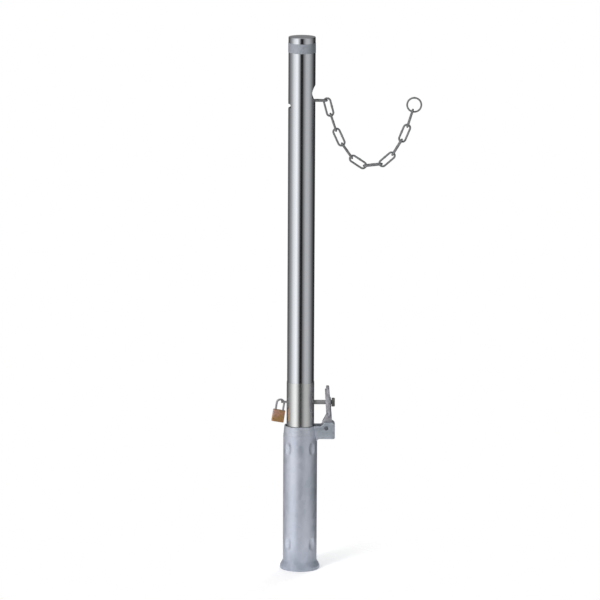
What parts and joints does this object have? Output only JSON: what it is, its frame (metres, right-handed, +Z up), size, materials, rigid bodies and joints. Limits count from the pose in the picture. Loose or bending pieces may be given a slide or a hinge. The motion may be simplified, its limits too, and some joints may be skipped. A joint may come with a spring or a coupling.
{
  "type": "parking bollard",
  "caption": "Lift-out parking bollard: round steel post with a drawn-out chain, standing in a flared ground sleeve and locked to its hinged lid by a pin and a padlock.",
  "frame": {"origin": "middle of the ground sleeve's foot, at its lower rim", "axes": "+Z up along the post, +X towards the lid and the chain outlet"},
  "size_m": [0.3322, 0.0894, 1.21],
  "materials": {
    "polished_steel": "polished stainless tube",
    "satin_steel": "satin stainless",
    "galvanised": "hot-dip galvanised steel",
    "cast_galvanised": "galvanised casting",
    "plated_steel": "plated steel",
    "shackle_steel": "hardened steel wire",
    "brass": "dull brass",
    "chain_steel": "bright chain wire",
    "reflective_tape": "matt reflective tape"
  },
  "bodies": {
    "sleeve_and_post": {"ground_sleeve": "galvanised", "base_plate": "galvanised", "sleeve_head": "cast_galvanised", "lid_hinge_pin": "plated_steel", "post_tube": "polished_steel", "post_cap": "polished_steel", "reflective_tape": "reflective_tape", "base_band": "satin_steel", "chain_outlet_link": "chain_steel", "inner_chain": "chain_steel", "chain_anchor_bar": "plated_steel"},
    "lid": {"lid": "cast_galvanised"},
    "lock_pin": {"lock_pin": "plated_steel"},
    "shackle": {"padlock_shackle": "shackle_steel"},
    "padlock_body": {"padlock_body": "brass"},
    "plug": {"padlock_plug": "brass"},
    "link_01": {"chain_link_01": "chain_steel"},
    "link_02": {"chain_link_02": "chain_steel"},
    "link_03": {"chain_link_03": "chain_steel"},
    "link_04": {"chain_link_04": "chain_steel"},
    "link_05": {"chain_link_05": "chain_steel"},
    "link_06": {"chain_link_06": "chain_steel"},
    "link_07": {"chain_link_07": "chain_steel"},
    "link_08": {"chain_link_08": "chain_steel"},
    "link_09": {"chain_link_09": "chain_steel"},
    "link_10": {"chain_link_10": "chain_steel"},
    "ring": {"chain_ring": "chain_steel"}
  },
  "joints": [
    {"name": "lid_swing", "type": "hinge", "parent": "sleeve_and_post", "child": "lid", "pos_m": [0.0585, 0, 0.3254], "axis": [0, 1, 0], "range_deg": [-8, 0]},
    {"name": "lock_pin_turn", "type": "hinge", "parent": "sleeve_and_post", "child": "lock_pin", "pos_m": [0, 0, 0.3825], "axis": [1, 0, 0], "range_deg": [-90, 90]},
    {"name": "padlock_swing", "type": "hinge", "parent": "lock_pin", "child": "shackle", "pos_m": [-0.04485, 0, 0.3797], "axis": [0, 1, 0], "range_deg": [-6, 50]},
    {"name": "padlock_release", "type": "slide", "parent": "shackle", "child": "padlock_body", "axis": [-0.1564, 0, -0.9877], "range_m": [0, 0.008]},
    {"name": "plug_turn", "type": "hinge", "parent": "padlock_body", "child": "plug", "pos_m": [-0.04954, 0, 0.35007], "axis": [0.1564, 0, 0.9877], "range_deg": [0, 90]},
    {"name": "chain_lift", "type": "hinge", "parent": "sleeve_and_post", "child": "link_01", "pos_m": [0.0556, 0, 1.06763], "axis": [0, -1, 0], "range_deg": [-15, 60]},
    {"name": "chain_bend_02", "type": "hinge", "parent": "link_01", "child": "link_02", "pos_m": [0.06359, 0, 1.03778], "axis": [0, 1, 0], "range_deg": [-41.4, 36]},
    {"name": "chain_bend_03", "type": "hinge", "parent": "link_02", "child": "link_03", "pos_m": [0.07652, 0, 0.9994], "axis": [0, -1, 0], "range_deg": [-50.8, 39.2]},
    {"name": "chain_bend_04", "type": "hinge", "parent": "link_03", "child": "link_04", "pos_m": [0.08932, 0, 0.97127], "axis": [0, 1, 0], "range_deg": [-34.5, 55.5]},
    {"name": "chain_bend_05", "type": "hinge", "parent": "link_04", "child": "link_05", "pos_m": [0.11255, 0, 0.9381], "axis": [0, -1, 0], "range_deg": [-66.6, 23.4]},
    {"name": "chain_bend_06", "type": "hinge", "parent": "link_05", "child": "link_06", "pos_m": [0.13835, 0, 0.92109], "axis": [0, 1, 0], "range_deg": [-5.3, 84.7]},
    {"name": "chain_bend_07", "type": "hinge", "parent": "link_06", "child": "link_07", "pos_m": [0.17861, 0, 0.92552], "axis": [0, -1, 0], "range_deg": [-80, 10]},
    {"name": "chain_bend_08", "type": "hinge", "parent": "link_07", "child": "link_08", "pos_m": [0.20181, 0, 0.94592], "axis": [0, 1, 0], "range_deg": [-27.6, 62.4]},
    {"name": "chain_bend_09", "type": "hinge", "parent": "link_08", "child": "link_09", "pos_m": [0.22282, 0, 0.98055], "axis": [0, -1, 0], "range_deg": [-53.8, 36.2]},
    {"name": "chain_bend_10", "type": "hinge", "parent": "link_09", "child": "link_10", "pos_m": [0.23463, 0, 1.0091], "axis": [0, 1, 0], "range_deg": [-40, 50]},
    {"name": "ring_swing", "type": "hinge", "parent": "link_10", "child": "ring", "pos_m": [0.24675, 0, 1.04774], "axis": [0, -1, 0], "range_deg": [-48.2, 41.8]}
  ]
}
